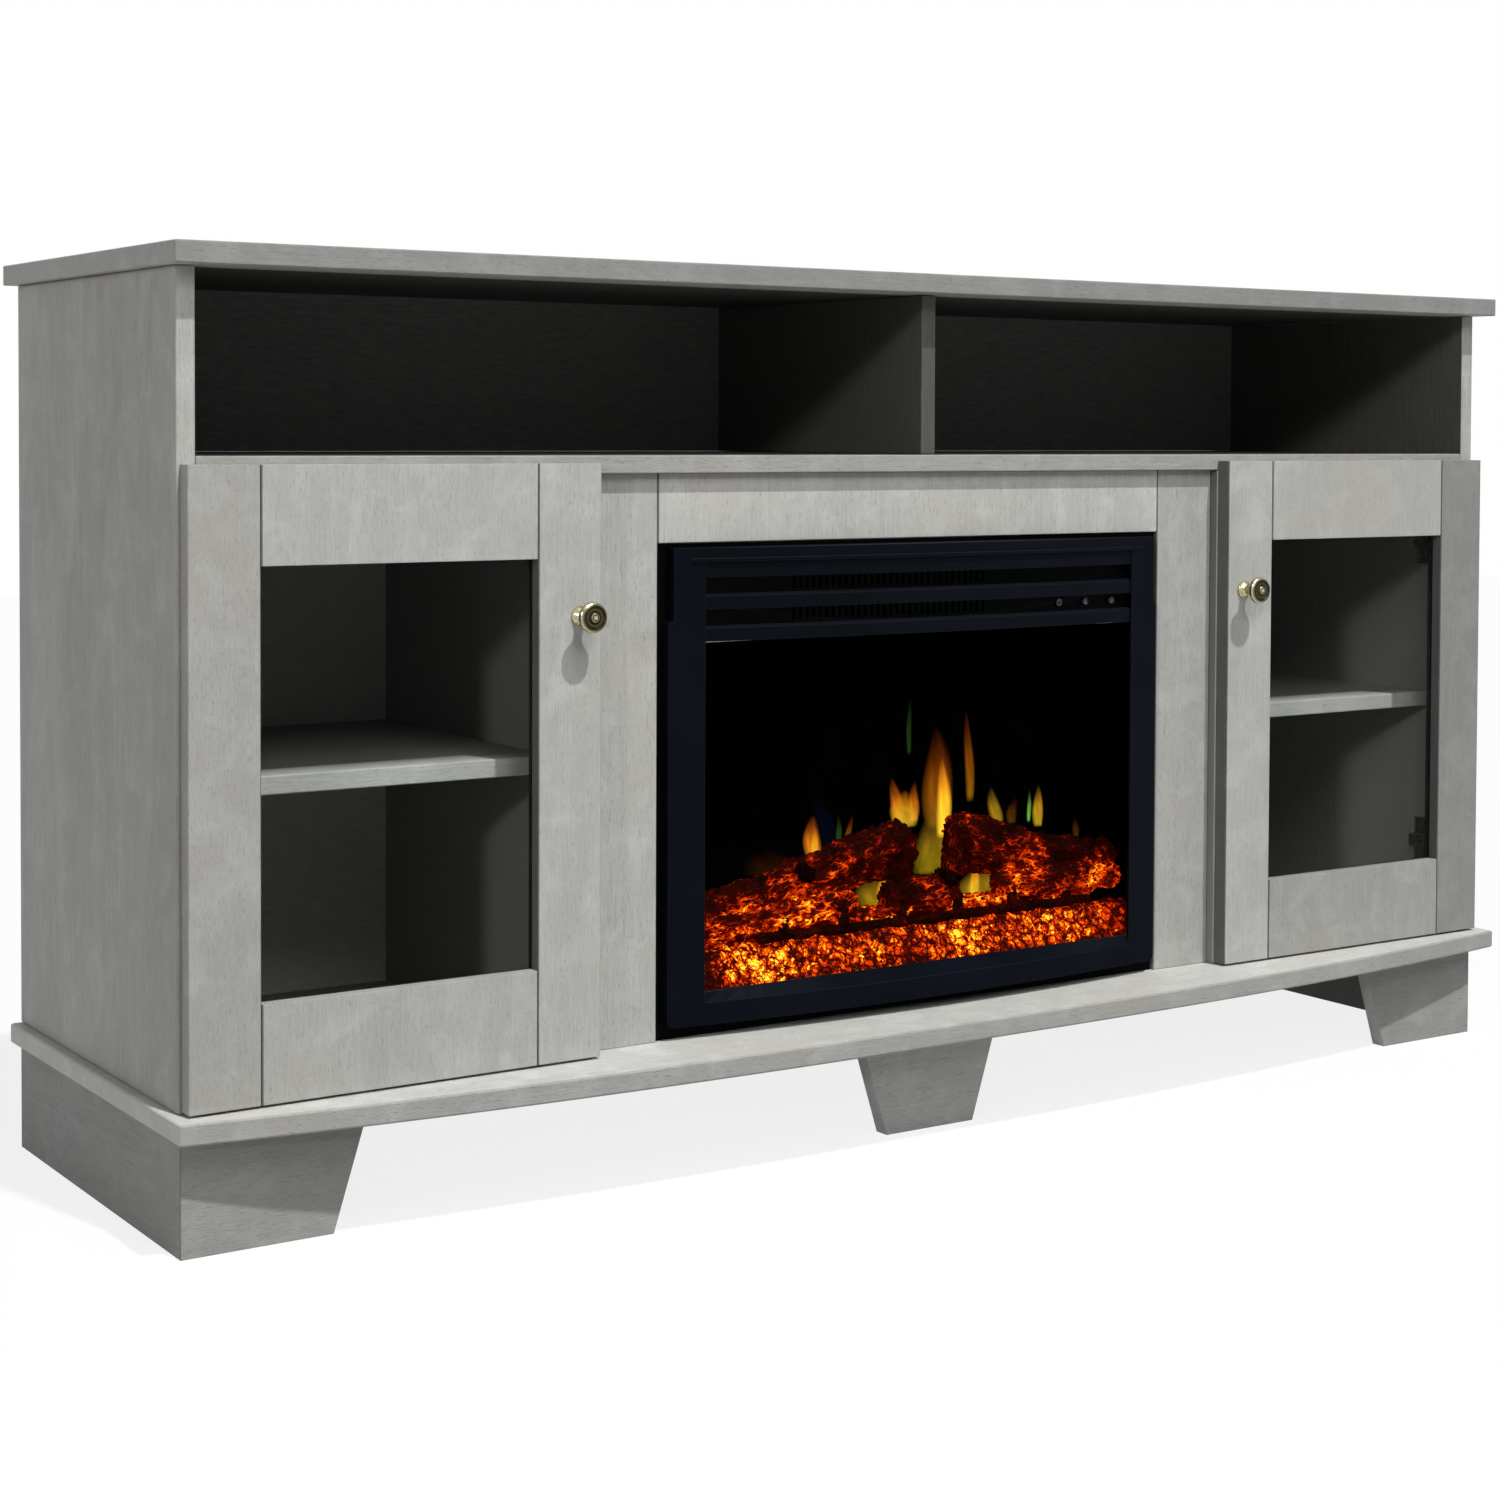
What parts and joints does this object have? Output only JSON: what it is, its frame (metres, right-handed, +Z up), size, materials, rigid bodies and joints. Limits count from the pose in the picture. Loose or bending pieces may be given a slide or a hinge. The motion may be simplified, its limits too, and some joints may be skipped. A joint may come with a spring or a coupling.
{
  "type": "fireplace tv stand",
  "caption": "Low media cabinet with open bays over glazed doors, a bow-front electric fire with louvres in the centre, a bowed base and tapered board feet.",
  "frame": {"origin": "on the floor, at the centre of the overall box", "axes": "+X to the right along the width, -Y out of the front, +Z up"},
  "size_m": [1.501, 0.484, 0.806],
  "materials": {
    "grained_grey": "light grey stain over open grain, satin",
    "back_board": "grey back board",
    "clear_glass": "clear, polished",
    "black_plastic": "matt black",
    "button_plastic": "black",
    "antique_brass": "antique brass, turned",
    "nickel": "nickel plated",
    "black_metal": "blue-black powder coat",
    "housing_metal": "dark olive, heat resistant paint",
    "smoked_acrylic": "smoked, half clear",
    "charred_resin": "charred bark with glowing cracks",
    "ember_resin": "translucent ember bed, lit from below",
    "bare_aluminium": "bare sheet"
  },
  "bodies": {
    "cabinet": {"base_panel": "grained_grey", "bay_divider": "grained_grey", "centre_front_foot": "grained_grey", "centre_rear_foot": "grained_grey", "ember_bed": "ember_resin", "firebox_housing": "housing_metal", "flame_screen": "smoked_acrylic", "frame_top_rail": "grained_grey", "front_glass": "clear_glass", "front_trim": "black_metal", "heater_tray": "bare_aluminium", "housing_back": "housing_metal", "left_cupboard_back": "back_board", "left_frame_stile": "grained_grey", "left_front_foot": "grained_grey", "left_lower_hinge_arm": "nickel", "left_partition": "grained_grey", "left_plinth_board": "grained_grey", "left_shelf": "grained_grey", "left_side_panel": "grained_grey", "left_upper_hinge_arm": "nickel", "log_set": "charred_resin", "louvre_blade_1": "black_metal", "louvre_blade_2": "black_metal", "mid_shelf": "grained_grey", "right_cupboard_back": "back_board", "right_frame_stile": "grained_grey", "right_front_foot": "grained_grey", "right_lower_hinge_arm": "nickel", "right_partition": "grained_grey", "right_plinth_board": "grained_grey", "right_shelf": "grained_grey", "right_side_panel": "grained_grey", "right_upper_hinge_arm": "nickel", "top_panel": "grained_grey", "upper_back_panel": "back_board", "vent_panel": "black_metal"},
    "left_door": {"left_door_outer_stile": "grained_grey", "left_door_inner_stile": "grained_grey", "left_door_top_rail": "grained_grey", "left_door_bottom_rail": "grained_grey", "left_door_glass": "clear_glass", "left_glass_retainer": "black_plastic", "left_knob": "antique_brass", "left_upper_hinge_cup": "nickel", "left_lower_hinge_cup": "nickel"},
    "right_door": {"right_door_outer_stile": "grained_grey", "right_door_inner_stile": "grained_grey", "right_door_top_rail": "grained_grey", "right_door_bottom_rail": "grained_grey", "right_door_glass": "clear_glass", "right_glass_retainer": "black_plastic", "right_knob": "antique_brass", "right_upper_hinge_cup": "nickel", "right_lower_hinge_cup": "nickel"},
    "power_button": {"power_button": "button_plastic"},
    "flame_button": {"flame_button": "button_plastic"},
    "heat_button": {"heat_button": "button_plastic"},
    "flicker_spindle": {"flicker_spindle": "bare_aluminium"},
    "blower_wheel": {"blower_wheel": "bare_aluminium"}
  },
  "joints": [
    {"name": "left_door_hinge", "type": "hinge", "parent": "cabinet", "child": "left_door", "pos_m": [-0.737, -0.1808, 0.374], "axis": [0, 0, -1], "range_deg": [0, 100]},
    {"name": "right_door_hinge", "type": "hinge", "parent": "cabinet", "child": "right_door", "pos_m": [0.737, -0.1808, 0.374], "axis": [0, 0, 1], "range_deg": [0, 100]},
    {"name": "power_button_press", "type": "slide", "parent": "cabinet", "child": "power_button", "axis": [0, 1, 0], "range_m": [0, 0.0015], "stiffness_N_per_m": 400, "springref_m": -0.001},
    {"name": "flame_button_press", "type": "slide", "parent": "cabinet", "child": "flame_button", "axis": [0, 1, 0], "range_m": [0, 0.0015], "stiffness_N_per_m": 400, "springref_m": -0.001},
    {"name": "heat_button_press", "type": "slide", "parent": "cabinet", "child": "heat_button", "axis": [0, 1, 0], "range_m": [0, 0.0015], "stiffness_N_per_m": 400, "springref_m": -0.001},
    {"name": "flicker_spin", "type": "hinge", "parent": "cabinet", "child": "flicker_spindle", "pos_m": [0, 0.003, 0.2013], "axis": [1, 0, 0], "continuous": true},
    {"name": "blower_spin", "type": "hinge", "parent": "cabinet", "child": "blower_wheel", "pos_m": [-0.037, -0.1017, 0.509], "axis": [1, 0, 0], "continuous": true}
  ]
}
